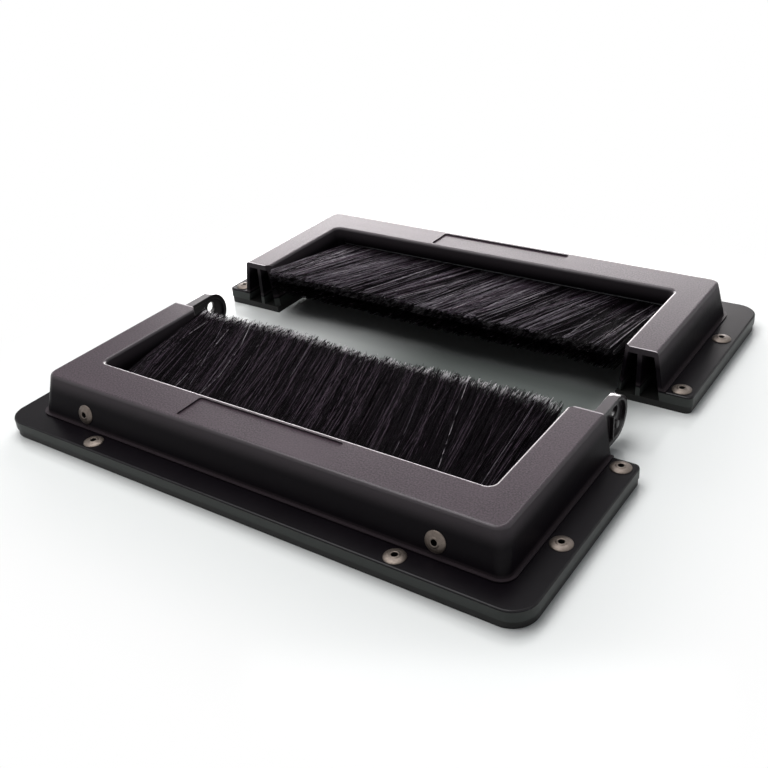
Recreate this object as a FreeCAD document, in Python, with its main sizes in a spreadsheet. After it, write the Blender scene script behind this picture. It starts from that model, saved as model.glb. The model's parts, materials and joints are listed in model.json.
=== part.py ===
import FreeCAD, Part
import math
import os
import re

# Split brush grommet for a cable opening, in millimetres.
# X runs along the flange, Y from the front half to the rear half, Z is up.
# The origin is on the floor, midway between the two halves.
# Each piece of the front half is drawn with its mating face at Y = 0 and is then
# moved back by half the gap. The rear half is the same set of pieces turned by
# half a turn, and only the front half has latch tongues.

SIZES = [
    ("FlangeLength", 285.0, "flange, end to end"),
    ("HalfDepth", 106.0, "mating face to the flange's outer edge, one half"),
    ("RestGap", 60.0, "between the two mating faces as the halves lie apart"),
    ("BaseThickness", 3.5, "base plate"),
    ("FlangeThickness", 5.2, "flange of the cover, above the base plate"),
    ("TotalHeight", 28.8, "floor to the top of the housing"),
    ("BaseInset", 0.4, "base plate's outer edge inside the flange's"),
    ("FlangeFrontRadius", 11.0, "flange corners away from the mating face"),
    ("FlangeRearRadius", 3.0, "flange corners at the mating face"),
    ("FlangeEdgeRadius", 0.8, "flange's upper edge"),
    ("SideSet", 17.3, "flange end to the top of the side wall"),
    ("SideLean", 3.4, "how far a side wall leans in over its rise"),
    ("FrontSet", 17.5, "flange edge to the top of the outer wall"),
    ("FrontLean", 4.7, "how far the outer wall leans in over its rise"),
    ("BeamWidth", 21.5, "top of the beam, wall to opening"),
    ("ArmWidth", 16.6, "top of an arm, side wall to opening"),
    ("ArmLean", 2.5, "how far an arm's inner wall leans over its rise"),
    ("HousingCornerRadius", 5.5, "upright outer corners"),
    ("OpeningCornerRadius", 3.5, "upright corners of the opening"),
    ("TopEdgeRadius", 1.8, "outer edge of the top face"),
    ("LipEdgeRadius", 1.7, "inner edge of the top face"),
    ("ArmChamfer", 2.8, "inner corner of each arm at the mating face"),
    ("StepWidth", 1.4, "step round the foot of the walls"),
    ("StepHeight", 0.7, "step round the foot of the walls"),
    ("WallThickness", 2.2, "walls of the housing"),
    ("RoofThickness", 3.0, "top of the housing"),
    ("LabelLength", 81.0, "bare recess in the beam's top"),
    ("LabelWidth", 16.2, "bare recess in the beam's top"),
    ("LabelDepth", 0.8, "bare recess in the beam's top"),
    ("LabelCornerRadius", 1.5, "bare recess in the beam's top"),
    ("SocketInset", 7.7, "top of the side wall to the socket's inner face"),
    ("SocketDepth", 34.0, "mating face to the socket's end"),
    ("DividerThickness", 2.1, "rib between the socket and the hollow beside it"),
    ("WindowTop", 19.8, "floor to the top of the brush's way out"),
    ("FitGap", 0.15, "between pieces that are fitted by hand"),
    ("TongueGap", 0.5, "round a tongue in its socket"),
    ("TongueLength", 31.0, "mating face to the tongue's nose"),
    ("TongueThickness", 5.0, "tongue, side to side"),
    ("TongueRim", 2.2, "rim round the tongue's hollow sides"),
    ("TongueOuterHollow", 1.7, "depth of the hollow on the outer side"),
    ("TongueInnerHollow", 1.1, "depth of the hollow on the inner side"),
    ("TongueRootGap", 1.0, "tongue's root to the socket's end"),
    ("PegDiameter", 3.8, "catch peg in the tongue"),
    ("PegDrop", 3.0, "peg below the nose's centre"),
    ("EyeDiameter", 6.0, "eye above the peg"),
    ("EyeRise", 3.2, "eye above the nose's centre"),
    ("RibThickness", 1.2, "ribs in the tongue's outer hollow"),
    ("RivetDiameter", 4.8, "rivet shank"),
    ("RivetHeadDiameter", 9.5, "rivet head"),
    ("RivetHeadHeight", 1.5, "rivet head"),
    ("RivetCrownDiameter", 4.4, "flat crown of the head"),
    ("RivetRimRadius", 0.3, "round the flat crown"),
    ("RivetBoreDiameter", 2.3, "hollow in the crown"),
    ("RivetBoreDepth", 3.0, "hollow in the crown"),
    ("RivetHoleGap", 0.06, "hole beyond the shank, on the radius"),
    ("TailDiameter", 6.8, "closed end of a flange rivet"),
    ("TailHeight", 1.5, "closed end of a flange rivet"),
    ("TailRecessDiameter", 8.4, "recess for it under the base plate"),
    ("TailRecessDepth", 1.9, "recess for it under the base plate"),
    ("WallRivetLength", 9.0, "shank of a rivet in the outer wall"),
    ("FrontRivetSet", 58.2, "flange end to a rivet in the outer edge"),
    ("FrontRivetInset", 5.8, "flange edge to rivet"),
    ("SideRivetInset", 6.9, "flange end to rivet"),
    ("SideRivetOuter", 43.0, "flange's outer edge to the first side rivet"),
    ("SideRivetInner", 6.0, "mating face to the second side rivet"),
    ("WallRivetSet", 27.7, "top of the side wall to a rivet in the outer wall"),
    ("WallRivetHeight", 15.1, "floor to rivet"),
    ("CarrierEndGap", 1.0, "foot of an arm to the bar that holds the strips"),
    ("CarrierHeight", 15.8, "bar that holds the strips"),
    ("LayerHeightUpper", 16.4, "floor to the upper strip's middle"),
    ("LayerHeightLower", 10.8, "floor to the lower strip's middle"),
    ("LayerTiltUpper", 7.5, "upper bristles' rise in degrees"),
    ("LayerTiltLower", 6.5, "lower bristles' rise in degrees"),
    ("StripEndSet", 1.0, "end of the bar to the end of a metal strip"),
    ("StripDepth", 8.0, "metal strip of a brush"),
    ("StripHeight", 5.3, "metal strip of a brush"),
    ("StripSheet", 0.6, "metal strip's sheet"),
    ("StripSet", 1.0, "beam's inner face to the strip's mouth"),
    ("WireDiameter", 1.8, "wire that the bristles fold round"),
    ("WireGap", 0.05, "round the wire, on the radius"),
    ("BrushSideGap", 1.3, "arm to the bristles"),
    ("TipPast", 2.5, "mating face to the mean bristle tip"),
    ("BristleThickness", 5.1, "one layer of bristles"),
    ("TuftPitch", 3.5, "one tuft to the next"),
    ("TuftRidge", 0.7, "height of a tuft's ridge"),
    ("TipScatter", 2.6, "how far tips stand from their mean"),
    ("NotchDepth", 1.3, "mean notch between two tufts at their tips"),
    ("NotchScatter", 0.8, "how far a notch's depth varies"),
]

doc = FreeCAD.newDocument("BrushGrommet")
sheet = doc.addObject("Spreadsheet::Sheet", "Sizes")
for row, (alias, value, meaning) in enumerate(SIZES, start=1):
    sheet.set(f"A{row}", meaning)
    sheet.set(f"B{row}", str(value))
    sheet.setAlias(f"B{row}", alias)
doc.recompute()

ALIASES = {alias for alias, value, meaning in SIZES}


def formula(text):
    """An expression for the document, from a formula in the sheet's aliases."""
    return re.sub(
        r"[A-Za-z]\w*",
        lambda word: f"Sizes.{word[0]}" if word[0] in ALIASES else word[0],
        str(text),
    )


def bind(thing, **formulas):
    for prop, text in formulas.items():
        thing.setExpression(prop, formula(text))


gauge = doc.addObject("Part::Vertex", "Gauge")


def size(text):
    """The value of an alias or a formula, read off a point that is bound to it."""
    bind(gauge, X=text)
    gauge.recompute()
    return gauge.X.Value


def move(thing, x=0, y=0, z=0, axis=None, angle=0):
    """Turns a thing about an axis through its origin, then moves it there."""
    if axis:
        thing.Placement.Rotation = FreeCAD.Rotation(FreeCAD.Vector(*axis), 1)
        thing.setExpression("Placement.Rotation.Angle", formula(angle))
    for letter, text in (("x", x), ("y", y), ("z", z)):
        thing.setExpression(f"Placement.Base.{letter}", formula(text))
    return thing


ALONG_X = (1, 0, 0)
ALONG_Y = (0, 1, 0)
ALONG_Z = (0, 0, 1)


def block(name, low, high):
    """A box from its low corner to its high corner."""
    thing = doc.addObject("Part::Box", name)
    (x0, y0, z0), (x1, y1, z1) = low, high
    bind(thing, Length=f"({x1}) - ({x0})", Width=f"({y1}) - ({y0})")
    bind(thing, Height=f"({z1}) - ({z0})")
    return move(thing, x0, y0, z0)


def taper(name, low, high, foot, top):
    """A block between two heights whose foot and top are (x0, x1, y0, y1)."""
    thing = doc.addObject("Part::Wedge", name)
    bind(thing, Ymin=low, Ymax=high)
    bind(thing, Xmin=foot[0], Xmax=foot[1], Zmin=f"-({foot[3]})", Zmax=f"-({foot[2]})")
    bind(thing, X2min=top[0], X2max=top[1], Z2min=f"-({top[3]})", Z2max=f"-({top[2]})")
    return move(thing, axis=ALONG_X, angle="90")


def rod(name, diameter, length, x=0, y=0, z=0, axis=None, angle=0):
    thing = doc.addObject("Part::Cylinder", name)
    bind(thing, Radius=f"({diameter}) / 2", Height=length)
    return move(thing, x, y, z, axis, angle)


def fuse(name, pieces):
    thing = doc.addObject("Part::MultiFuse", name)
    thing.Shapes = pieces
    return thing


def cut(name, base, tools):
    """The base less one or more tools."""
    thing = doc.addObject("Part::Cut", name)
    thing.Base = base
    thing.Tool = tools[0] if len(tools) == 1 else fuse(f"{name}_tools", tools)
    return thing


def group(name, pieces):
    thing = doc.addObject("Part::Compound", name)
    thing.Links = pieces
    return thing


def rounded(name, base, radius, chosen, kind="Part::Fillet"):
    """Rounds the edges of base whose middle point passes the test chosen."""
    doc.recompute()
    thing = doc.addObject(kind, name)
    thing.Base = base
    edges = []
    for number, edge in enumerate(base.Shape.Edges, start=1):
        middle = edge.valueAt((edge.FirstParameter + edge.LastParameter) / 2)
        if chosen(edge, middle):
            edges.append((number, radius, radius))
    thing.Edges = edges
    return thing


def is_upright(edge):
    """An edge between a lower and an upper face, leaning or not."""
    box = edge.BoundBox
    return box.ZLength > max(box.XLength, box.YLength)


def near(a, b):
    return abs(a - b) < 0.01


# Heights and outlines that several pieces share, as formulas.
STACK_TOP = "(BaseThickness + FlangeThickness)"
RISE = f"(TotalHeight - {STACK_TOP})"
ROOF = "(TotalHeight - RoofThickness)"
LIP = "(FrontSet + BeamWidth - HalfDepth)"
HOUSING_HALF = "(FlangeLength / 2 - SideSet)"

# How far a cutting tool runs past the face that it cuts through.
PAST = 5


def side_at(height):
    """Half the housing's width at a height."""
    return f"({HOUSING_HALF} + SideLean * (TotalHeight - ({height})) / {RISE})"


def front_at(height):
    """Y of the outer wall's outside at a height."""
    return f"(FrontSet - HalfDepth - FrontLean * (TotalHeight - ({height})) / {RISE})"


def opening_at(height):
    """Half the opening's width between the arms at a height."""
    lean = f"ArmLean * (TotalHeight - ({height})) / {RISE}"
    return f"({HOUSING_HALF} - ArmWidth - {lean})"


SOCKET_FACE = f"({HOUSING_HALF} - SocketInset)"
CARRIER_HALF = f"({opening_at('0')} - CarrierEndGap)"
STRIP_HALF = f"({CARRIER_HALF} - StripEndSet)"
BRUSH_HALF = f"({opening_at('LayerHeightLower')} - BrushSideGap)"
FRONT_RIVET_X = "(FlangeLength / 2 - FrontRivetSet)"
WALL_RIVET_X = f"({HOUSING_HALF} - WallRivetSet)"
RIVETS = [
    ("front_left", f"-{FRONT_RIVET_X}", "FrontRivetInset - HalfDepth"),
    ("front_right", FRONT_RIVET_X, "FrontRivetInset - HalfDepth"),
    ("left_outer", "SideRivetInset - FlangeLength / 2", "SideRivetOuter - HalfDepth"),
    ("right_outer", "FlangeLength / 2 - SideRivetInset", "SideRivetOuter - HalfDepth"),
    ("left_inner", "SideRivetInset - FlangeLength / 2", "-SideRivetInner"),
    ("right_inner", "FlangeLength / 2 - SideRivetInset", "-SideRivetInner"),
]
WALL_RIVETS = [("left", f"-{WALL_RIVET_X}"), ("right", WALL_RIVET_X)]
WALL_ANGLE = f"90 - atan(FrontLean / {RISE}) / 1 deg"
HOLE = "(RivetDiameter + 2 * RivetHoleGap)"


def upright_holes(name, diameter, low, high):
    """One upright hole for each flange rivet."""
    holes = []
    for place, x, y in RIVETS:
        holes.append(rod(f"{name}_{place}", diameter, f"({high}) - ({low})", x, y, low))
    return holes


def wall_holes(name, depth):
    """One hole for each rivet in the outer wall, square to the leaning wall."""
    holes = []
    for place, x in WALL_RIVETS:
        hole = doc.addObject("Part::Cylinder", f"{name}_{place}")
        bind(hole, Radius=f"{HOLE} / 2", Height=f"({depth}) + {PAST}")
        angle = f"{WALL_ANGLE} + 180"
        y = f"{front_at('WallRivetHeight')} - {PAST} * cos(atan(FrontLean / {RISE}))"
        z = f"WallRivetHeight + {PAST} * sin(atan(FrontLean / {RISE}))"
        holes.append(move(hole, x, y, z, ALONG_X, angle))
    return holes


def plate(name, inset, low, high):
    """A slab with the flange's outline, drawn in by an inset, corners rounded."""
    half = f"(FlangeLength / 2 - {inset})"
    slab = block(
        f"{name}_slab",
        (f"-{half}", f"{inset} - HalfDepth", low),
        (half, "0", high),
    )
    front = -size("HalfDepth") / 2
    outer = rounded(
        f"{name}_outer_corners",
        slab,
        size("FlangeFrontRadius"),
        lambda edge, at: is_upright(edge) and at.y < front,
    )
    return rounded(
        f"{name}_inner_corners",
        outer,
        size("FlangeRearRadius"),
        lambda edge, at: is_upright(edge) and near(at.y, 0),
    )


def opening(name, low, high):
    """The space between the arms, open at the mating face."""
    foot, top = opening_at(low), opening_at(high)
    space = taper(
        f"{name}_space",
        low,
        high,
        (f"-{foot}", foot, LIP, PAST),
        (f"-{top}", top, LIP, PAST),
    )
    return rounded(
        f"{name}_corners",
        space,
        size("OpeningCornerRadius"),
        lambda edge, at: is_upright(edge) and at.y < 0,
    )


def housing():
    """The raised walls with their step, solid, before they are hollowed."""
    foot, top = side_at(STACK_TOP), side_at("TotalHeight")
    walls = taper(
        "housing_walls",
        STACK_TOP,
        "TotalHeight",
        (f"-{foot}", foot, front_at(STACK_TOP), "0"),
        (f"-{top}", top, front_at("TotalHeight"), "0"),
    )
    step = block(
        "housing_step",
        (f"-({foot} + StepWidth)", f"{front_at(STACK_TOP)} - StepWidth", STACK_TOP),
        (f"{foot} + StepWidth", "0", f"{STACK_TOP} + StepHeight"),
    )

    def outer_corner(edge, at):
        return is_upright(edge) and at.y < -size("HalfDepth") / 2

    radius = size("HousingCornerRadius")
    walls = rounded("housing_wall_corners", walls, radius, outer_corner)
    radius += size("StepWidth")
    return [walls, rounded("housing_step_corners", step, radius, outer_corner)]


def hollows():
    """Everything that is taken out of the cover from below and at its ends."""
    low, high = f"(BaseThickness - {PAST})", ROOF
    front = [f"({front_at(level)} + WallThickness)" for level in (low, high)]
    side = [f"({side_at(level)} - WallThickness)" for level in (low, high)]
    inner = [f"({opening_at(level)} + WallThickness)" for level in (low, high)]
    behind = f"({LIP} - WallThickness)"
    end_wall = "(-SocketDepth - WallThickness)"
    beam = taper(
        "beam_hollow",
        low,
        high,
        (f"-{side[0]}", side[0], front[0], behind),
        (f"-{side[1]}", side[1], front[1], behind),
    )
    spaces = [beam]
    for name, x, y in (
        ("arm", (inner[0], side[0], inner[1], side[1]), (f"{behind} - {PAST}", end_wall)),
        ("socket", (SOCKET_FACE, side[0], SOCKET_FACE, side[1]), ("-SocketDepth", PAST)),
        (
            "side_hollow",
            (
                inner[0],
                f"{SOCKET_FACE} - DividerThickness",
                inner[1],
                f"{SOCKET_FACE} - DividerThickness",
            ),
            ("-SocketDepth", PAST),
        ),
    ):
        foot, top = (x[0], x[1], *y), (x[2], x[3], *y)
        spaces.append(taper(f"right_{name}", low, high, foot, top))
        foot, top = (f"-({x[1]})", f"-({x[0]})", *y), (f"-({x[3]})", f"-({x[2]})", *y)
        spaces.append(taper(f"left_{name}", low, high, foot, top))
    half = f"({CARRIER_HALF} + 2 * FitGap)"
    spaces.append(
        block(
            "brush_window",
            (f"-{half}", f"{behind} - {PAST}", low),
            (half, f"{LIP} + {PAST}", "WindowTop"),
        )
    )
    return spaces


def label_recess():
    """The shallow bare recess in the middle of the beam's top."""
    middle = "(FrontSet + BeamWidth / 2 - HalfDepth)"
    space = block(
        "label_space",
        ("-LabelLength / 2", f"{middle} - LabelWidth / 2", "TotalHeight - LabelDepth"),
        ("LabelLength / 2", f"{middle} + LabelWidth / 2", f"TotalHeight + {PAST}"),
    )
    radius = size("LabelCornerRadius")
    return rounded("label_corners", space, radius, lambda edge, at: is_upright(edge))


def make_cover():
    low = f"(BaseThickness - {PAST})"
    flange = plate("cover_flange", "0", "BaseThickness", STACK_TOP)
    outside = fuse("cover_outside", [flange, *housing()])
    open_cover = cut("cover_open", outside, [opening("cover", low, f"TotalHeight + {PAST}")])
    top, stack_top = size("TotalHeight"), size(STACK_TOP)
    beam_middle = size(f"{LIP} - BeamWidth / 2")
    arm_middle = size(f"{HOUSING_HALF} - ArmWidth / 2")

    def arm_corner(edge, at):
        return is_upright(edge) and near(at.y, 0) and abs(at.x) < arm_middle

    chamfered = rounded(
        "cover_arm_chamfers", open_cover, size("ArmChamfer"), arm_corner, "Part::Chamfer"
    )

    def is_outer(at):
        return abs(at.x) > arm_middle or at.y < beam_middle

    def on_top(at):
        return near(at.z, top) and at.y < -size("ArmChamfer")

    def top_outer(edge, at):
        return on_top(at) and is_outer(at)

    def top_inner(edge, at):
        return on_top(at) and not is_outer(at)

    def flange_edge(edge, at):
        beyond_walls = abs(at.x) > size(f"{side_at(STACK_TOP)} + StepWidth")
        before_walls = at.y < size(f"{front_at(STACK_TOP)} - StepWidth")
        return near(at.z, stack_top) and (beyond_walls or before_walls) and not near(at.y, 0)

    solid = rounded("cover_top_edges", chamfered, size("TopEdgeRadius"), top_outer)
    solid = rounded("cover_lip_edges", solid, size("LipEdgeRadius"), top_inner)
    solid = rounded("cover_flange_edges", solid, size("FlangeEdgeRadius"), flange_edge)
    tools = hollows()
    tools.append(label_recess())
    tools += upright_holes("cover_hole", HOLE, low, "TotalHeight")
    tools += wall_holes("cover_wall_hole", "WallThickness * 2")
    return cut("cover", solid, tools)


def make_base_plate():
    slab = plate("base", "BaseInset", "0", "BaseThickness")
    tools = [opening("base", f"-{PAST}", f"BaseThickness + {PAST}")]
    tools += upright_holes("base_hole", HOLE, f"-{PAST}", "TotalHeight")
    tools += upright_holes("base_recess", "TailRecessDiameter", f"-{PAST}", "TailRecessDepth")
    return cut("base_plate", slab, tools)


def rivet(name, shank, tail):
    """A blind rivet whose head sits on Z = 0 and whose shank points down."""
    head = doc.addObject("Part::Cone", f"{name}_head")
    bind(head, Radius1="RivetHeadDiameter / 2", Radius2="RivetCrownDiameter / 2")
    bind(head, Height="RivetHeadHeight")
    pieces = [head, rod(f"{name}_shank", "RivetDiameter", shank, z=f"-({shank})")]
    if tail:
        foot = f"-({shank}) - TailHeight"
        pieces.append(rod(f"{name}_tail", "TailDiameter", "TailHeight", z=foot))
    whole = fuse(f"{name}_whole", pieces)
    rim = rounded(
        f"{name}_rim",
        whole,
        size("RivetRimRadius"),
        lambda edge, at: near(at.z, size("RivetHeadHeight")),
    )
    bore = rod(
        f"{name}_bore",
        "RivetBoreDiameter",
        f"RivetBoreDepth + {PAST}",
        z="RivetHeadHeight - RivetBoreDepth",
    )
    return cut(name, rim, [bore])


def make_flange_rivets():
    pattern = rivet("flange_rivet", f"{STACK_TOP} - TailRecessDepth", True)
    places = []
    for place, x, y in RIVETS:
        copy = group(f"flange_rivet_{place}", [pattern])
        places.append(move(copy, x, y, STACK_TOP))
    return group("flange_rivets", places)


def make_wall_rivets():
    pattern = rivet("wall_rivet", "WallRivetLength", False)
    places = []
    for place, x in WALL_RIVETS:
        copy = group(f"wall_rivet_{place}", [pattern])
        y = front_at("WallRivetHeight")
        places.append(move(copy, x, y, "WallRivetHeight", ALONG_X, WALL_ANGLE))
    return group("wall_rivets", places)


def in_layer(thing, layer):
    """Puts a thing drawn level, with its mouth at Y = 0, at a layer's place."""
    return move(thing, 0, LIP, f"LayerHeight{layer}", ALONG_X, f"LayerTilt{layer}")


def make_brush_carrier():
    low, high = "BaseThickness", "(BaseThickness + CarrierHeight)"
    faces = [f"({front_at(level)} + WallThickness + FitGap)" for level in (low, high)]
    bar = taper(
        "carrier_bar",
        low,
        high,
        (f"-{CARRIER_HALF}", CARRIER_HALF, faces[0], LIP),
        (f"-{CARRIER_HALF}", CARRIER_HALF, faces[1], LIP),
    )
    tools = wall_holes("carrier_hole", "WallRivetLength + FitGap")
    for layer in ("Upper", "Lower"):
        half = "(StripHeight / 2 + FitGap)"
        slot = block(
            f"carrier_slot_{layer}",
            (f"-{CARRIER_HALF} - {PAST}", "-StripSet - StripDepth - FitGap", f"-{half}"),
            (f"{CARRIER_HALF} + {PAST}", PAST, half),
        )
        tools.append(in_layer(group(f"carrier_slot_place_{layer}", [slot]), layer))
    return cut("brush_carrier", bar, tools)


def make_strip(layer):
    """The folded metal strip that grips one layer of bristles."""
    back = "(-StripSet - StripDepth)"
    half, inner = STRIP_HALF, "(StripHeight / 2 - StripSheet)"
    outside = block(
        f"strip_outside_{layer}",
        (f"-{half}", back, "-StripHeight / 2"),
        (half, "-StripSet", "StripHeight / 2"),
    )
    folds = rounded(
        f"strip_folds_{layer}",
        outside,
        size("StripSheet"),
        lambda edge, at: near(at.y, -size("StripSet") - size("StripDepth"))
        and edge.BoundBox.XLength > size("StripHeight"),
    )
    inside = block(
        f"strip_inside_{layer}",
        (f"-{half} - {PAST}", f"{back} + StripSheet", f"-{inner}"),
        (f"{half} + {PAST}", "0", inner),
    )
    strip = cut(f"{layer.lower()}_brush_strip", folds, [inside])
    return in_layer(strip, layer)


WIRE_PLACE = "(StripSheet + WireDiameter - StripSet - StripDepth)"


def make_wire(layer):
    wire = rod(
        f"wire_{layer}",
        "WireDiameter",
        f"2 * {STRIP_HALF}",
        f"-{STRIP_HALF}",
        WIRE_PLACE,
        0,
        ALONG_Y,
        "90",
    )
    return in_layer(group(f"{layer.lower()}_core_wire", [wire]), layer)


def tuft_edges(length, pitch):
    """X of each furrow between tufts, from one side of the brush to the other."""
    count = max(2, round(length / pitch))
    return [length * (step / count - 0.5) for step in range(count + 1)]


# Two waves along the row of tufts, in radians a tuft, whose mean sets each tip.
SLOW_WAVE = 0.37
QUICK_WAVE = 2.4


def tip_of(step, phase):
    """How far one tip stands from the mean tip, from -1 to 1, without a pattern."""
    slow = math.sin(SLOW_WAVE * step + phase)
    quick = math.sin(QUICK_WAVE * step - phase)
    return (slow + quick) / 2


def make_bristles(layer, phase):
    """One layer of bristles as a ridged slab with a ragged edge of tips."""
    half = size(BRUSH_HALF)
    reach, scatter = size(f"TipPast - {LIP}"), size("TipScatter")
    thick, ridge = size("BristleThickness") / 2, size("TuftRidge")
    furrows = tuft_edges(2 * half, size("TuftPitch"))
    tilt = math.radians(size(f"LayerTilt{layer}"))
    reach = reach / math.cos(tilt)

    # Seen from above: straight at the root, ragged at the tips.
    outline = [(-half, 0)]
    for step, x in enumerate(furrows[:-1]):
        tip = reach + scatter * tip_of(step, phase)
        notch = size("NotchDepth") + size("NotchScatter") * math.sin(step + phase)
        outline.append((x, tip - notch))
        outline.append(((x + furrows[step + 1]) / 2, tip))
    outline += [(half, reach - scatter), (half, 0)]
    points = [FreeCAD.Vector(x, y, -2 * thick) for x, y in outline]
    seen_above = Part.Face(Part.makePolygon(points + points[:1]))
    seen_above = seen_above.extrude(FreeCAD.Vector(0, 0, 4 * thick))

    # Seen from the end: one ridge for each tuft, above and below.
    upper, lower = [(-half, thick - ridge)], [(-half, ridge - thick)]
    for start, end in zip(furrows, furrows[1:]):
        middle = (start + end) / 2
        upper += [(middle, thick), (end, thick - ridge)]
        lower += [(middle, -thick), (end, ridge - thick)]
    points = [FreeCAD.Vector(x, -size("StripSet"), z) for x, z in upper + lower[::-1]]
    seen_from_end = Part.Face(Part.makePolygon(points + points[:1]))
    seen_from_end = seen_from_end.extrude(FreeCAD.Vector(0, reach + 2 * scatter, 0))
    fan = seen_above.common(seen_from_end)

    # The root fills the strip and folds round its wire.
    half_root = size(STRIP_HALF)
    inside = size("StripHeight") / 2 - size("StripSheet") - size("WireGap")
    back = size("StripSheet") + size("WireGap") - size("StripSet") - size("StripDepth")
    root = Part.makeBox(
        2 * half_root, -back, 2 * inside, FreeCAD.Vector(-half_root, back, -inside)
    )
    wire_y = size("StripSheet") + size("WireDiameter") - size("StripSet") - size("StripDepth")
    bore = Part.makeCylinder(
        size("WireDiameter") / 2 + size("WireGap"),
        2 * (half_root + PAST),
        FreeCAD.Vector(-half_root - PAST, wire_y, 0),
        FreeCAD.Vector(*ALONG_X),
    )
    bristles = doc.addObject("Part::Feature", f"{layer.lower()}_bristles")
    bristles.Shape = fan.fuse(root).cut(bore).removeSplitter()
    return in_layer(bristles, layer)


TONGUE_FOOT = "(BaseThickness + TongueGap)"
TONGUE_HEAD = f"({ROOF} - TongueGap)"
NOSE_RADIUS = f"(({TONGUE_HEAD} - {TONGUE_FOOT}) / 2)"
NOSE_HEIGHT = f"(({TONGUE_HEAD} + {TONGUE_FOOT}) / 2)"
NOSE_PLACE = f"(TongueLength - {NOSE_RADIUS})"


def tongue_blank(name, near_x, far_x, inset, back):
    """A slab with the tongue's round-nosed outline, drawn in by an inset."""
    bar = block(
        f"{name}_bar",
        (near_x, back, f"{TONGUE_FOOT} + {inset}"),
        (far_x, NOSE_PLACE, f"{TONGUE_HEAD} - {inset}"),
    )
    nose = rod(
        f"{name}_nose",
        f"2 * ({NOSE_RADIUS} - {inset})",
        f"({far_x}) - ({near_x})",
        near_x,
        NOSE_PLACE,
        NOSE_HEIGHT,
        ALONG_Y,
        "90",
    )
    return fuse(name, [bar, nose])


def make_tongue(side):
    """A latch tongue, drawn on the right; the left one is its mirror image."""
    low_x = f"({SOCKET_FACE} + TongueGap)"
    high_x = f"({low_x} + TongueThickness)"
    blank = tongue_blank(f"{side}_tongue_blank", low_x, high_x, "0", "0")
    outer = tongue_blank(
        f"{side}_outer_hollow",
        f"{high_x} - TongueOuterHollow",
        f"{high_x} + {PAST}",
        "TongueRim",
        "TongueRim",
    )
    inner = tongue_blank(
        f"{side}_inner_hollow",
        f"{low_x} - {PAST}",
        f"{low_x} + TongueInnerHollow",
        "TongueRim",
        "TongueRim",
    )
    eye = rod(
        f"{side}_eye",
        "EyeDiameter",
        f"TongueThickness + 2 * {PAST}",
        f"{low_x} - {PAST}",
        NOSE_PLACE,
        f"{NOSE_HEIGHT} + EyeRise",
        ALONG_Y,
        "90",
    )
    hollowed = cut(f"{side}_tongue_hollowed", blank, [outer, inner, eye])
    peg = rod(
        f"{side}_peg",
        "PegDiameter",
        "TongueThickness",
        low_x,
        NOSE_PLACE,
        f"{NOSE_HEIGHT} - PegDrop",
        ALONG_Y,
        "90",
    )
    rib_place = f"({NOSE_PLACE} - PegDiameter)"
    rib = block(
        f"{side}_rib",
        (low_x, f"{rib_place} - RibThickness", f"{TONGUE_FOOT} + TongueRim / 2"),
        (high_x, rib_place, f"{NOSE_HEIGHT} + EyeRise"),
    )
    levels = ("BaseThickness", ROOF)
    face = f"({SOCKET_FACE} + FitGap)"
    walls = [f"({side_at(level)} - WallThickness - FitGap)" for level in levels]
    ends = ("TongueRootGap - SocketDepth", "0")
    root = taper(
        f"{side}_tongue_root",
        f"{levels[0]} + FitGap",
        f"{levels[1]} - FitGap",
        (face, walls[0], *ends),
        (face, walls[1], *ends),
    )
    pieces = [hollowed, peg, rib, root]
    if side == "right":
        return fuse("right_tongue", pieces)
    mirror = doc.addObject("Part::Mirroring", "left_tongue")
    mirror.Source = fuse("left_tongue_drawn", pieces)
    mirror.Base = FreeCAD.Vector(0, 0, 0)
    mirror.Normal = FreeCAD.Vector(*ALONG_X)
    return mirror


def to_rest(thing):
    """Moves a piece of the front half from its drawing place to where it lies."""
    place = group(f"front_{thing.Name}", [thing])
    move(place, y="-RestGap / 2")
    return place


def turned(thing):
    """The rear half's twin of a piece of the front half."""
    place = group(f"rear_{thing.Name}", [thing])
    move(place, y="RestGap / 2", axis=ALONG_Z, angle="180")
    return place


shared = [make_cover(), make_base_plate(), make_brush_carrier()]
for layer, phase in (("Upper", 0.4), ("Lower", 2.9)):
    shared += [make_strip(layer), make_wire(layer), make_bristles(layer, phase)]
shared += [make_flange_rivets(), make_wall_rivets()]
pieces = [to_rest(thing) for thing in shared]
pieces += [turned(thing) for thing in shared]
pieces += [to_rest(make_tongue("left")), to_rest(make_tongue("right"))]
doc.recompute()

for thing in doc.Objects:
    if {"Invalid", "Error"} & set(thing.State):
        raise RuntimeError(f"{thing.Name} failed: {thing.State}")
for piece in pieces:
    if piece.Shape.isNull() or not piece.Shape.isValid() or not piece.Shape.Solids:
        raise RuntimeError(f"{piece.Label} has no valid solid")

os.makedirs("parts", exist_ok=True)
for piece in pieces:
    piece.Shape.exportStep(f"parts/{piece.Label}.step")
    box = piece.Shape.BoundBox
    print(
        f"{piece.Label}: {len(piece.Shape.Solids)} solids, {piece.Shape.Volume:.0f} mm3,",
        f"x {box.XMin:.1f}..{box.XMax:.1f}, y {box.YMin:.1f}..{box.YMax:.1f},",
        f"z {box.ZMin:.1f}..{box.ZMax:.1f}",
    )
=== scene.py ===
"""Looks for a split brush grommet whose two halves lie apart on a pale floor."""

import json
import math
import random

import bmesh
import bpy
from mathutils import Euler, Matrix, Vector


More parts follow.
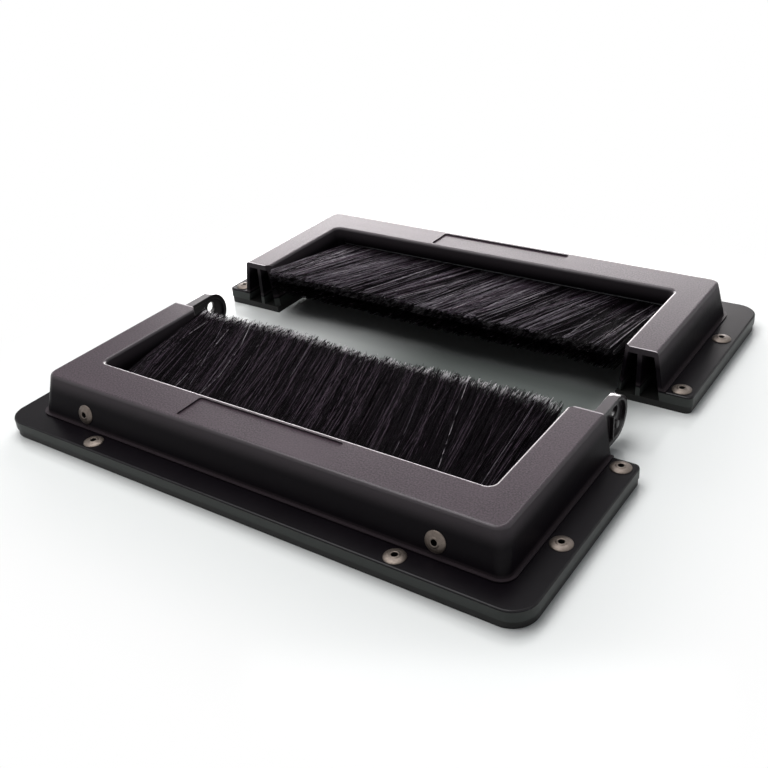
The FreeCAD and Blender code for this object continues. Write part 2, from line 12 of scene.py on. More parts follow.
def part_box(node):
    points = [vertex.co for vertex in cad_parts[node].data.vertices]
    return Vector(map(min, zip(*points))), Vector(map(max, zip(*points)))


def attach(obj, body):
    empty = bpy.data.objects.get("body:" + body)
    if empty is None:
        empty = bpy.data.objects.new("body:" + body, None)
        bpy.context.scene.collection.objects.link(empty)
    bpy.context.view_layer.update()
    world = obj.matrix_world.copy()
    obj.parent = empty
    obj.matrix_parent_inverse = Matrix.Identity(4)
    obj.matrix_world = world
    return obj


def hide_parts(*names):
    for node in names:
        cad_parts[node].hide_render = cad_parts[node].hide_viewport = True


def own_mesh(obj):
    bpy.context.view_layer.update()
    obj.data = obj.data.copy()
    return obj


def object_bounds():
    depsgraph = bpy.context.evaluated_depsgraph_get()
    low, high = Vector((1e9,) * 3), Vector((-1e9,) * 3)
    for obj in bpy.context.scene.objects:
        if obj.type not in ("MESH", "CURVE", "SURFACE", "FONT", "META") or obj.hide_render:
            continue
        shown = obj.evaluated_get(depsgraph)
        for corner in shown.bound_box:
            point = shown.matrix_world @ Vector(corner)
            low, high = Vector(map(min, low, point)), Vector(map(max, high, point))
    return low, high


MM = 0.001

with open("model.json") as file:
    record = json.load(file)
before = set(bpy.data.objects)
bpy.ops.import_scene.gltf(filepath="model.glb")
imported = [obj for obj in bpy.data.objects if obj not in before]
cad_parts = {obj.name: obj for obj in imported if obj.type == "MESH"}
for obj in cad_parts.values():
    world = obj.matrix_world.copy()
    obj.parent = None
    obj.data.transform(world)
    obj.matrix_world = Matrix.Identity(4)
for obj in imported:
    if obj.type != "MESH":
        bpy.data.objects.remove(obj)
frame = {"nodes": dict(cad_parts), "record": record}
cad_low, cad_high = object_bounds()
nodes = frame["nodes"]
scene = bpy.context.scene

HALVES = ("front", "rear")
# Metres from the plane between the halves to the mating face of each.
HALF_GAP = -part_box("front_base_plate")[1].y

# Measures in a half's own frame, in millimetres. Its mating face is at Y = 0.
MOUTH_Y = -67.0
BRUSH_HALF_WIDTH = 104.7
TIP_PAST = 2.5
FLANGE_TOP = 8.7
COVER_TOP = 28.8


# Shader maths

class Value:
    """One output of a node, so that shader maths is written as Python."""

    def __init__(self, finish, output):
        self.finish = finish
        self.output = output

    def maths(self, operation, first, second):
        settings = {"operation": operation}
        return self.finish.node("Math", settings, {0: first, 1: second})

    def __add__(self, other):
        return self.maths("ADD", self, other)

    def __radd__(self, other):
        return self.maths("ADD", other, self)

    def __sub__(self, other):
        return self.maths("SUBTRACT", self, other)

    def __rsub__(self, other):
        return self.maths("SUBTRACT", other, self)

    def __mul__(self, other):
        return self.maths("MULTIPLY", self, other)

    def __rmul__(self, other):
        return self.maths("MULTIPLY", other, self)


class Finish:
    """A material or the world, with one method that adds any node to it."""

    def __init__(self, owner):
        self.owner = owner
        owner.use_nodes = True
        self.tree = owner.node_tree
        self.tree.nodes.clear()

    def node(self, kind, settings=None, sockets=None, output=0):
        made = self.tree.nodes.new("ShaderNode" + kind)
        for name, value in (settings or {}).items():
            setattr(made, name, value)
        for name, value in (sockets or {}).items():
            self.feed(made.inputs[name], value)
        return Value(self, made.outputs[output]) if made.outputs else None

    def feed(self, socket, value):
        if isinstance(value, Value):
            self.tree.links.new(value.output, socket)
        else:
            socket.default_value = value

    def coordinates(self, scale=(1, 1, 1)):
        """Object coordinates in metres, stretched by a scale."""
        place = self.node("TexCoord", output="Object")
        return self.node("Mapping", {}, {"Vector": place, "Scale": scale})

    def axis(self, letter, vector):
        return self.node("SeparateXYZ", {}, {0: vector}, output=letter)

    def vector(self, operation, first, second=(0, 0, 0), output=0):
        settings = {"operation": operation}
        return self.node("VectorMath", settings, {0: first, 1: second}, output)

    def beside(self, place):
        """How far a place is from the plane between the halves."""
        return self.axis("Y", self.vector("ABSOLUTE", place))

    def normal(self):
        return self.node("NewGeometry", output="Normal")

    def noise(self, vector, scale, detail, roughness):
        sockets = {"Vector": vector, "Scale": scale, "Detail": detail}
        sockets["Roughness"] = roughness
        return self.node("TexNoise", {}, sockets)

    def cells(self, vector, scale, feature):
        sockets = {"Vector": vector, "Scale": scale}
        return self.node("TexVoronoi", {"feature": feature}, sockets)

    def rise(self, value, low, high):
        """0 below low, 1 above high, with a smooth step between them."""
        settings = {"interpolation_type": "SMOOTHSTEP"}
        sockets = {"Value": value, "From Min": low, "From Max": high}
        return self.node("MapRange", settings, sockets)

    def rise_mm(self, length, low, high):
        """The same step for a length, between two ends in millimetres."""
        return self.rise(length, low * MM, high * MM)

    def spread(self, value, low, high):
        """A value from 0 to 1 laid out between low and high."""
        return self.node("MapRange", {}, {"Value": value, "To Min": low, "To Max": high})

    def blend(self, share, first, second):
        """A share of the second colour mixed into the first."""
        settings = {"data_type": "RGBA"}
        sockets = {0: share, 6: first, 7: second}
        return self.node("Mix", settings, sockets, output=2)

    def bump(self, height, strength, depth, below=None):
        """A bump whose depth is in millimetres, on top of the one below it."""
        sockets = {"Height": height, "Strength": strength, "Distance": depth * MM}
        if below:
            sockets["Normal"] = below
        return self.node("Bump", {}, sockets)

    def surface(self, **sockets):
        """Ends the material with one Principled shader."""
        named = {name.replace("_", " "): value for name, value in sockets.items()}
        self.node("OutputMaterial", {}, {"Surface": self.node("BsdfPrincipled", {}, named)})
        return self.owner


def new_finish(name):
    return Finish(bpy.data.materials.new(name))


def rgb(red, green, blue):
    """A colour as it is written for a screen, from 0 to 255, made linear."""
    linear = []
    for value in (red, green, blue):
        share = value / 255
        linear.append(share / 12.92 if share < 0.04045 else ((share + 0.055) / 1.055) ** 2.4)
    return (*linear, 1.0)


WHITE = (1, 1, 1, 1)


# Finishes

def grained_plastic():
    """The cover's moulding: pebbled on top and walls, smoother on flange and edges, with
    painted light in its colour: lighter tops and upper walls, painted highlights and a
    painted reflection.
    """
    f = new_finish("grained_plastic")
    place = f.coordinates()
    height = f.axis("Z", place)
    normal = f.normal()
    facing = f.axis("Z", normal)
    pebbles = f.cells(place, 1600, "SMOOTH_F1")
    fine = f.noise(place, 2600, 3.0, 0.6)
    mottle = f.noise(place, 1250, 3.0, 0.65)
    blotches = f.noise(place, 380, 4.0, 0.6)
    patches = f.noise(place, 24, 4.0, 0.55)
    streaks = f.noise(f.coordinates((1, 1, 7)), 55, 3.0, 0.6)

    # Masks by height: the raised part, the step at its foot, which carries a painted
    # highlight, and its walls' upper end, which is painted lighter as painted light.
    raised = f.rise_mm(height, FLANGE_TOP + 0.9, FLANGE_TOP + 2.3)
    step = f.rise_mm(height, FLANGE_TOP + 0.1, FLANGE_TOP + 0.4) * (1 - raised)
    fade = f.rise_mm(height, COVER_TOP - 9, COVER_TOP - 1.5)

    # Masks by how far a face turns up: tops, the rounding beside them, its crest where that
    # doesn't lean forwards, and the flange's upright rim, which carries a painted reflection
    # of the pale floor.
    flat = f.rise(facing, 0.93, 0.995)
    up = f.rise(facing, 0.70, 0.99)
    edge = f.rise(facing, 0.19, 0.45) * (1 - flat)
    crest = f.rise(facing, 0.90, 0.97) * (1 - f.rise(facing, 0.992, 0.999)) * raised
    crest = crest * f.rise(f.axis("Y", normal), -0.12, -0.02)
    side = 1 - f.rise(facing, 0.05, 0.30)
    rim = side * (1 - f.rise_mm(height, FLANGE_TOP - 0.9, FLANGE_TOP - 0.5))
    # Painted highlight: the top edges at the arms' mating ends, where light catches them.
    arm_end_highlight = 1 - f.rise(f.beside(place), HALF_GAP + 0.4 * MM, HALF_GAP + 0.9 * MM)

    base = f.blend(streaks, rgb(7, 4, 8), rgb(15, 11, 16))
    # Painted light: the raised part's tops get a far lighter colour than its walls and the
    # flange, the same plastic lit and shaded.
    top = f.blend(f.rise(mottle, 0.34, 0.66), rgb(37, 28, 34), rgb(70, 55, 65))
    top = f.blend(f.rise(patches, 0.45, 0.75) * 0.35, top, rgb(76, 62, 71))
    # Painted light: the walls grow lighter towards their upper end.
    base = f.blend(fade * 0.75, base, rgb(80, 74, 78))
    base = f.blend(up * raised, base, top)
    # Painted highlight: the step at the wall's foot gets a lighter band.
    base = f.blend(step * 0.8, base, rgb(56, 49, 53))
    # Painted reflection: the flange's upright rim gets the greenish grey of the pale floor it
    # mirrors.
    base = f.blend(rim * 0.9, base, rgb(66, 69, 67))
    # Painted highlight: a pale line along the arms' mating ends.
    base = f.blend(arm_end_highlight * up * raised * 0.9, base, rgb(198, 190, 195))

    rough = f.spread(patches, 0.36, 0.44) + blotches * 0.12 - edge * 0.12 - rim * 0.10
    rough = rough - up * (1 - raised) * 0.14
    gloss = 0.05 + up * (0.03 + raised * 0.29) + edge * 0.34 + rim * 0.15 + crest * 0.40
    gloss = gloss * (0.72 + blotches * 0.56)
    grain = f.bump(pebbles, (0.20 + raised * 0.60) * (1 - edge * 0.8), 0.05)
    grain = f.bump(fine, 0.20, 0.03, grain)
    return f.surface(
        Base_Color=base, Roughness=rough, Normal=grain, Specular_IOR_Level=0.03,
        Coat_Weight=gloss, Coat_Roughness=0.27,
    )


def plain_plastic():
    """The base plates and the bars that hold the brushes: satin, with flow marks."""
    f = new_finish("plain_plastic")
    flow = f.noise(f.coordinates((1, 1, 5)), 60, 4.0, 0.6)
    fine = f.noise(f.coordinates(), 1900, 3.0, 0.6)
    return f.surface(
        Base_Color=f.blend(flow, rgb(19, 19, 19), rgb(36, 36, 35)),
        Roughness=f.spread(flow, 0.38, 0.55), Specular_IOR_Level=0.25,
        Normal=f.bump(fine, 0.25, 0.05),
    )


def polished_plastic():
    """The latch tongues: glossy edges, satin tops, faint scuffs along the slide, and flat
    tops painted lighter than the sides as painted light.
    """
    f = new_finish("polished_plastic")
    scuffs = f.noise(f.coordinates((900, 40, 900)), 1.0, 3.0, 0.6)
    waves = f.noise(f.coordinates(), 160, 2.0, 0.4)
    facing = f.axis("Z", f.normal())
    flat = f.rise(facing, 0.985, 0.999)
    turned = f.rise(facing, 0.40, 0.75) * (1 - flat)
    base = f.blend(scuffs, rgb(20, 17, 19), rgb(40, 35, 38))
    # Painted light: flat tops get a lighter colour than the sides, the same plastic lit and
    # shaded.
    base = f.blend(flat, base, f.blend(scuffs, rgb(58, 53, 56), rgb(76, 70, 74)))
    return f.surface(
        Base_Color=base, Specular_IOR_Level=0.10,
        Roughness=f.spread(f.rise(scuffs, 0.45, 0.75), 0.30, 0.40),
        Coat_Weight=0.10 + turned * 0.90, Coat_Roughness=0.22,
        Normal=f.bump(waves, 0.18, 0.10),
    )


# Where bristles have pale cut tips, partly their own cut ends and partly a painted highlight,
# and where they are painted darker near the roots as the shade under the lip, in millimetres
# from the plane between the halves, and the share of such tips at the rear, kept low as those
# tips lie in shade.
FRONT_TIPS = (29.5, 33.5)
REAR_TIPS = (28.0, 34.0)
REAR_TIP_SHARE = 0.12
ROOT_SHADE = (76, 97)


def nylon(name, dark, light, gloss, cut):
    """Bristles of one tone, each a little uneven, with paler cut ends on a share, partly a
    painted highlight, and painted shade near the roots.
    """
    f = new_finish(name)
    place = f.coordinates()
    strand = f.noise(f.coordinates((1900, 14, 1900)), 1.0, 2.0, 0.7)
    along = f.noise(f.coordinates((300, 120, 300)), 1.0, 2.0, 0.5)
    wisp = f.noise(f.coordinates((720, 60, 720)), 1.0, 2.0, 0.5)
    beside = f.beside(place)
    front = 1 - f.rise_mm(f.axis("Y", place), -1, 1)
    front_tip = front * (1 - f.rise_mm(beside, *FRONT_TIPS))
    rear_tip = (1 - front) * (1 - f.rise_mm(beside, *REAR_TIPS)) * REAR_TIP_SHARE
    ends = (front_tip + rear_tip) * f.rise(wisp, 0.50, 0.54)
    base = f.blend(f.rise(strand, 0.35, 0.70), dark, light)
    # Painted shade: strands darken towards their roots, in the shade under the lip.
    base = f.blend(f.rise_mm(beside, *ROOT_SHADE) * 0.75, base, rgb(4, 3, 4))
    # Pale cut ends: partly the nylon's own, partly a painted highlight.
    base = f.blend(ends * f.rise(strand, 0.38, 0.48) * cut, base, rgb(240, 236, 239))
    rough = f.spread(along, 0.32, 0.48)
    return f.surface(Base_Color=base, Roughness=rough, Specular_IOR_Level=gloss)


def galvanised():
    """The folded strips and their wires, with the spangle of zinc."""
    f = new_finish("galvanised")
    spangle = f.cells(f.coordinates(), 420, "F1")
    dull = f.noise(f.coordinates((1, 6, 6)), 90, 4.0, 0.6)
    base = f.blend(spangle, rgb(168, 170, 174), rgb(120, 122, 126))
    base = f.blend(f.rise(dull, 0.5, 0.8) * 0.5, base, rgb(92, 90, 88))
    return f.surface(
        Base_Color=base, Metallic=0.9, Roughness=f.spread(dull, 0.32, 0.55),
        Normal=f.bump(dull, 0.15, 0.05),
    )


def rivet_metal(name, dark, light):
    """Dull drawn aluminium with brownish tarnish and small dents; in near-black colours, the
    painted shade inside a rivet's bore.
    """
    f = new_finish(name)
    tarnish = f.noise(f.coordinates(), 420, 4.0, 0.6)
    dents = f.noise(f.coordinates(), 1300, 3.0, 0.55)
    base = f.blend(tarnish, dark, light)
    base = f.blend(f.rise(dents, 0.52, 0.72) * 0.5, base, dark)
    return f.surface(
        Base_Color=base, Metallic=0.8, Roughness=f.spread(dents, 0.34, 0.52),
        Normal=f.bump(dents, 0.25, 0.06),
    )


def shows_backdrop(f):
    """1 for rays that show the white background: seen, mirrored or through glass."""
    straight = f.node("LightPath", output="Is Camera Ray")
    mirrored = f.node("LightPath", output="Is Glossy Ray")
    through = f.node("LightPath", output="Is Transmission Ray")
    return straight + mirrored + through


# How far from the object the floor has turned white, in millimetres.
WHITE_FROM = 88


def floor_finish():
    """A pale floor that keeps the shadows near the object and is white beyond it, with a
    painted shadow between the halves.
    """
    f = new_finish("pale_floor")
    place = f.coordinates()
    folded = f.vector("ABSOLUTE", place)
    beyond = f.vector("SUBTRACT", folded, (cad_high.x, cad_high.y, 0))
    beyond = f.vector("MAXIMUM", beyond)
    distance = f.vector("LENGTH", beyond, output="Value")
    # Painted shadow: between the halves the floor is darker, most of all on the right.
    aside = f.rise_mm(f.axis("X", folded), 95, 135)
    between = (1 - f.rise_mm(f.axis("Y", folded), 25, 60)) * (1 - aside)
    shadow_rightwards = f.rise_mm(f.axis("X", place), -90, 20)
    pale = f.blend(between * (0.3 + shadow_rightwards * 0.65), rgb(242, 244, 243), rgb(98, 104, 101))
    sockets = {"Base Color": pale, "Roughness": 0.11, "Specular IOR Level": 0.6}
    lit = f.node("BsdfPrincipled", {}, sockets)
    white = f.node("Emission", {}, {"Color": WHITE, "Strength": 1.0})
    share = shows_backdrop(f) * f.rise_mm(distance, 0, WHITE_FROM)
    mixed = f.node("MixShader", {}, {0: share, 1: lit, 2: white})
    f.node("OutputMaterial", {}, {"Surface": mixed})
    return f.owner


COVER = grained_plastic()
BASE = plain_plastic()
TONGUE = polished_plastic()
STRIP = galvanised()
RIVET = rivet_metal("rivet_metal", rgb(74, 66, 62), rgb(126, 116, 108))
# Painted shade: the faces inside each rivet's bore get a near-black copy of the metal.
SHADED_BORE = rivet_metal("shaded_rivet_bore", rgb(6, 5, 5), rgb(16, 14, 13))
# The tones of bristle, from the commonest to the rarest, and last a near-black shaded copy
# that paints shade on the lower layers.
BRISTLES = [
    nylon("black_nylon", rgb(6, 3, 7), rgb(16, 9, 16), 0.03, 0.8),
    nylon("dark_nylon", rgb(54, 41, 53), rgb(98, 82, 97), 0.12, 0.9),
    nylon("grey_nylon", rgb(88, 80, 90), rgb(142, 134, 144), 0.25, 0.8),
    nylon("pale_nylon", rgb(150, 140, 150), rgb(215, 208, 214), 0.35, 0.8),
    nylon("shaded_nylon", rgb(3, 2, 3), rgb(9, 7, 9), 0.03, 0.0),
]
BLACK = 0
PALE = 3

FINISH_OF_SLOT = {
    "cover_moulding": COVER,
    "base_moulding": BASE,
    "tongue_moulding": TONGUE,
    "strip_steel": STRIP,
    "rivet": RIVET,
    "bristle": BRISTLES[BLACK],
}
for part in frame["record"]["subparts"]:
    mesh = nodes[part["node"]].data
    mesh.materials.clear()
    mesh.materials.append(FINISH_OF_SLOT[part["material_slot"]])


# Pieces

MERGE = 1e-6


def place_of(half):
    """Where a half's own frame, with its mating face at Y = 0, lies in the row."""
    if half == "front":
        return Matrix.Translation((0, -HALF_GAP, 0))
    return Matrix.Rotation(math.pi, 4, "Z") @ Matrix.Translation((0, -HALF_GAP, 0))


def mesh_from(bm, name):
    """The mesh of a finished bmesh, which is freed."""
    mesh = bpy.data.meshes.new(name)
    bm.to_mesh(mesh)
    bm.free()
    return mesh


def add_piece(name, mesh, finishes, half, replaced):
    """Links a finished mesh, gives it its finishes, sets it on its half's body and hides the
    parts it replaces.
    """
    piece = bpy.data.objects.new(name, mesh)
    scene.collection.objects.link(piece)
    for finish in finishes[len(mesh.materials):]:
        mesh.materials.append(finish)
    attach(piece, f"{half}_half")
    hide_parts(*replaced)
    return piece


# Rivets

# A rivet's outline as (radius, height) in millimetres: the head from its crown's
# hollow outwards to its rim, with its underside at height 0, and then either foot.
HEAD_OUTLINE = [
    (0.0, -2.0),
    (0.55, -2.05),
    (0.85, -2.35),
    (1.3, -2.3),
    (1.3, 1.0),
    (1.38, 1.2),
    (1.55, 1.29),
    (1.95, 1.27),
    (2.15, 1.15),
    (2.3, 0.98),
    (2.6, 0.98),
    (3.4, 0.84),
    (4.2, 0.56),
    (4.6, 0.36),
    (4.74, 0.17),
    (4.72, 0.0),
    (2.4, 0.0),
]
FLANGE_FOOT = [(2.4, -6.8), (3.2, -6.8), (3.4, -7.0), (3.4, -8.0), (3.1, -8.3), (0.0, -8.3)]
WALL_FOOT = [(2.4, -8.8), (2.2, -9.0), (0.0, -9.0)]
SPIN_STEPS = 40
BORE_RADIUS = 1.34
BORE_HEIGHTS = (-3.0, 1.1)
FLANGE_RIVETS = [(84.3, -100.2), (135.6, -63.0), (135.6, -6.0)]
WALL_RIVET = (97.5, -91.70, 15.1)
WALL_LEAN = math.atan(4.7 / 20.1)
# How far each rivet is turned against the one before it, in radians.
NEXT_TURN = 0.9


def rivet_mesh(foot_outline):
    """One rivet, spun from its head's outline and its foot's, standing on Z = 0."""
    bm = bmesh.new()
    line = [bm.verts.new((r * MM, 0, z * MM)) for r, z in HEAD_OUTLINE + foot_outline]
    edges = [bm.edges.new(pair) for pair in zip(line, line[1:])]
    bmesh.ops.spin(
        bm,
        geom=line + edges,
        cent=(0, 0, 0),
        axis=(0, 0, 1),
        angle=2 * math.pi,
        steps=SPIN_STEPS,
        use_merge=True,
    )
    bmesh.ops.remove_doubles(bm, verts=bm.verts, dist=MERGE)
    bmesh.ops.recalc_face_normals(bm, faces=bm.faces)
    # Faces inside the bore get the second finish, a painted shade.
    bottom, top = BORE_HEIGHTS
    for face in bm.faces:
        face.smooth = True
        middle = face.calc_center_median() / MM
        in_bore = middle.xy.length < BORE_RADIUS and bottom < middle.z < top
        face.material_index = int(in_bore)
    return mesh_from(bm, "rivet")


def make_rivets(half):
    """All rivets of a half, as one piece."""
    flange_rivet = rivet_mesh(FLANGE_FOOT)
    wall_rivet = rivet_mesh(WALL_FOOT)
    bm = bmesh.new()

    def add(mesh, x, y, z, turn):
        before = set(bm.verts)
        bm.from_mesh(mesh)
        new = [v for v in bm.verts if v not in before]
        place = place_of(half) @ Matrix.Translation((x * MM, y * MM, z * MM)) @ turn
        bmesh.ops.transform(bm, matrix=place, verts=new)

    for side in (-1, 1):
        for index, (x, y) in enumerate(FLANGE_RIVETS):
            turn = Matrix.Rotation(NEXT_TURN * index + side, 4, "Z")
            add(flange_rivet, side * x, y, FLANGE_TOP, turn)
        x, y, z = WALL_RIVET
        add(wall_rivet, side * x, y, z, Matrix.Rotation(math.pi / 2 - WALL_LEAN, 4, "X"))
    mesh = mesh_from(bm, f"{half}_rivets")
    replaced = (f"{half}_flange_rivets", f"{half}_wall_rivets")
    add_piece(f"{half}_rivets", mesh, [RIVET, SHADED_BORE], half, replaced)


# Latch tongues

COPLANAR = math.radians(1)
SHARP_EDGE = math.radians(30)
CREASE = math.radians(50)
TONGUE_BEVEL = 0.35 * MM
# Faces larger than this stay flat to the light, in square metres.
FLAT_AREA = 40 * MM * MM


def make_tongue(side):
    """A copy of a latch tongue with its sharp edges rounded to catch the light."""
    node = f"front_{side}_tongue"
    bm = bmesh.new()
    bm.from_mesh(nodes[node].data)
    bmesh.ops.remove_doubles(bm, verts=bm.verts, dist=MERGE)
    bmesh.ops.dissolve_limit(bm, angle_limit=COPLANAR, verts=bm.verts, edges=bm.edges)
    bmesh.ops.bevel(
        bm,
        geom=[edge for edge in bm.edges if edge.calc_face_angle(0) > SHARP_EDGE],
        offset=TONGUE_BEVEL,
        segments=2,
        profile=0.5,
        affect="EDGES",
        clamp_overlap=True,
        material=-1,
    )
    for face in bm.faces:
        face.smooth = face.calc_area() < FLAT_AREA
    for edge in bm.edges:
        edge.smooth = edge.calc_face_angle(0) < CREASE
    bmesh.ops.triangulate(bm, faces=bm.faces)
    mesh = mesh_from(bm, f"{side}_tongue")
    # The normals stored with the CAD mesh no longer fit the bevelled copy.
    mesh.attributes.remove(mesh.attributes["custom_normal"])
    add_piece(f"{side}_tongue", mesh, [TONGUE], "front", (node,))


# Bristles

# Each layer's height at its root and its rise towards the tips in degrees.
LAYERS = {"upper": (16.4, 7.5), "lower": (10.8, 6.5)}

# How each half's bristles lie in its own frame, in millimetres.
# pitch: the width of a tuft. sweep: how far the tips lean sideways.
# held: the share of the half width, next to the arm they lean to, that leans less.
# painted_side_light: how common the paler strands are at the left and right end of the row,
# as painted light and shade: more on the lit left, fewer in the shade on the right.
# gather: how much a tuft's tips are drawn together, past the share late of its length.
# unrest and stir: how far whole tufts and single strands lean out of line.
# uneven and droop: how much the tufts' reach differs and how far their tips hang.
LIE = {
    "front": {
        "pitch": 1.3,
        "sweep": -19.0,
        "held": 0.12,
        "painted_side_light": (1.6, 0.4),
        "gather": (0.35, 0.75),
        "late": 0.70,
        "unrest": 0.45,
        "stir": 3.1,
        "uneven": 0.8,
        "droop": 0.0,
    },
    "rear": {
        "pitch": 2.7,
        "sweep": 14.0,
        "held": 0.30,
        "painted_side_light": (1.0, 1.0),
        "gather": (0.3, 0.8),
        "late": 0.35,
        "unrest": 1.6,
        "stir": 1.8,
        "uneven": 0.64,
        "droop": 0.8,
    },
}
# The share of strands in each tone of bristle, and how thick each tone's strands are. The
# lower layers are almost all the shaded copy, as painted shade, and the rear's upper layer
# has far more grey strands than the front's, as painted light.
TONES = {
    ("front", "upper"): (0.75, 0.235, 0.015, 0.0, 0.0),
    ("rear", "upper"): (0.44, 0.22, 0.31, 0.03, 0.0),
    ("front", "lower"): (0.0, 0.04, 0.0, 0.0, 0.96),
    ("rear", "lower"): (0.0, 0.04, 0.0, 0.0, 0.96),
}
THICKNESS = {"front": (1.0, 0.68, 0.8, 1.0, 1.0), "rear": (1.0, 1.1, 1.2, 1.0, 1.0)}
# Strands of the upper layers whose tips end below this level are black, in metres.
SHADED_LEVEL = 0.6 * MM

STRANDS = 6300
STRAYS = {"upper": 9, "lower": 0}
STRAND_RADIUS = 0.13
RADII = (0.8, 1.2)
ROOT_BEHIND_MOUTH = 4.5
MOUTH_HALF_HEIGHT = 1.75
LAYER_HALF_HEIGHT = 2.35
FIRST_SEED = 40
# Where along a strand its points lie, and its thickness there.
STATIONS = (0.0, 0.42, 0.78, 1.0)
TAPER = (1.0, 1.0, 0.95, 0.8)

# The lean grows from its least, next to the arm the tips lean away from, to its
# whole at this share of the half width.
LEAST_LEAN = 0.12
LEAN_GROWS = 0.34
# Tufts: their widths against the pitch, the long wave of their tips, and two short
# waves of their lean as (size, length, start).
TUFT_WIDTHS = (0.55, 1.5)
WAVE_LENGTH = 115
WAVE_START = 30
WAVE_LIFT = 0.5
WAVE_REACH = 1.0
LEAN_WAVES = ((0.9, 17.0, 0.0), (0.7, 6.1, 1.0))
LIFT_UNREST = 0.4
# Strands: how far they fall short and reach on, the share that stays shorter, how
# unlike their leans are, and their own lift and bow.
FALLS_SHORT = 1.2
REACHES_ON = 0.9
SHORT_SHARE = 0.06
SHORTER_BY = (1.0, 6.0)
LEAN_STEPS = (0.5, 1.0, 2.2)
OWN_LIFT = 0.4
OWN_BOW = 0.6
# Strays: what they have more of than the rest.
STRAY_LEAN = (3.0, 8.0)
STRAY_LIFT = (0.6, 1.6)
STRAY_BOW = 4.0
STRAY_SHORT = (0.0, 9.0)
# Tips go at most this far past the mating face, and strands off their layer's middle.
REACH_LIMIT = 4.9
LEVEL_LIMIT = 3.2
# How a strand bends: the powers by which tips gather and lean, and how fast the
# layer opens out.
GATHER_POWER = 1.6
LEAN_POWER = 1.15
OPENS_OUT = 2.2


def eased(share):
    """A share with a smooth start and end, which stays 1 beyond 1."""
    share = min(1.0, share)
    return share * share * (3 - 2 * share)


def swept(x, sweep, held):
    """How far the tips lean at x: not at all at the arm they lean to, little at the other."""
    ahead = (BRUSH_HALF_WIDTH + math.copysign(x, sweep * x)) / BRUSH_HALF_WIDTH
    grown = LEAST_LEAN + (1 - LEAST_LEAN) * eased(ahead / LEAN_GROWS)
    return sweep * eased((2 - ahead) / held) * grown


def tuft_row(rng, lie):
    """Tufts from one side of the brush to the other, each with its own lean."""
    tufts = []
    x = -BRUSH_HALF_WIDTH
    while x < BRUSH_HALF_WIDTH:
        width = lie["pitch"] * rng.uniform(*TUFT_WIDTHS)
        wave = math.cos(2 * math.pi * (x + WAVE_START) / WAVE_LENGTH)
        lean = sum(size * math.sin(x / length + start) for size, length, start in LEAN_WAVES)
        unrest = lie["unrest"]
        tufts.append(
            {
                "low": x,
                "middle": x + width / 2,
                "width": width,
                "lean": swept(x, lie["sweep"], lie["held"]) + lean + rng.gauss(0, unrest),
                "lift": WAVE_LIFT * wave + rng.gauss(0, LIFT_UNREST * unrest) - lie["droop"],
                "reach": WAVE_REACH * wave + rng.gauss(0, lie["uneven"]),
                "gather": rng.uniform(*lie["gather"]),
                "stir": lie["stir"],
                "late": lie["late"],
            }
        )
        x += width
    return tufts


def strand_points(rng, tuft, stray):
    """The points of one strand, from its root inside the strip to its tip."""
    x = tuft["low"] + rng.random() * tuft["width"]
    level = rng.uniform(-1, 1)
    root_level = level * MOUTH_HALF_HEIGHT
    full_level = level * LAYER_HALF_HEIGHT
    reach = -MOUTH_Y + TIP_PAST + tuft["reach"] - abs(rng.gauss(0, FALLS_SHORT)) + REACHES_ON
    if rng.random() < SHORT_SHARE:
        reach -= rng.uniform(*SHORTER_BY)
    lean = tuft["lean"] + rng.gauss(0, tuft["stir"] * rng.choice(LEAN_STEPS))
    lift = tuft["lift"] + rng.gauss(0, OWN_LIFT)
    bow = rng.gauss(0, OWN_BOW)
    if stray:
        lean += rng.choice((-1, 1)) * rng.uniform(*STRAY_LEAN)
        lift += rng.uniform(*STRAY_LIFT)
        bow *= STRAY_BOW
        root_level = full_level = MOUTH_HALF_HEIGHT
        reach -= rng.uniform(*STRAY_SHORT)
    reach = min(reach, -MOUTH_Y + REACH_LIMIT)
    gathered = tuft["middle"] + (x - tuft["middle"]) * (1 - tuft["gather"])
    points = []
    for share in STATIONS:
        late = max(0.0, (share - tuft["late"]) / (1 - tuft["late"])) ** GATHER_POWER
        across = x + (gathered - x) * late + lean * share ** LEAN_POWER
        across += bow * math.sin(math.pi * share)
        across = max(-BRUSH_HALF_WIDTH, min(BRUSH_HALF_WIDTH, across))
        along = -ROOT_BEHIND_MOUTH + share * (reach + ROOT_BEHIND_MOUTH)
        opened = min(1.0, share * OPENS_OUT)
        up = root_level + (full_level - root_level) * opened + lift * late
        up = max(-LEVEL_LIMIT, min(LEVEL_LIMIT, up))
        points.append(Vector((across, along, up)) * MM)
    return points


def drawn_tone(rng, half, layer, tuft):
    """A strand's tone by lot, where the share of paler ones changes along the row, as painted
    light and shade.
    """
    across = (tuft["middle"] + BRUSH_HALF_WIDTH) / (2 * BRUSH_HALF_WIDTH)
    first, last = LIE[half]["painted_side_light"]
    paler = first + (last - first) * across
    black, *others = TONES[half, layer]
    weights = [black, *(paler * share for share in others)]
    return rng.choices(range(len(BRISTLES)), weights)[0]


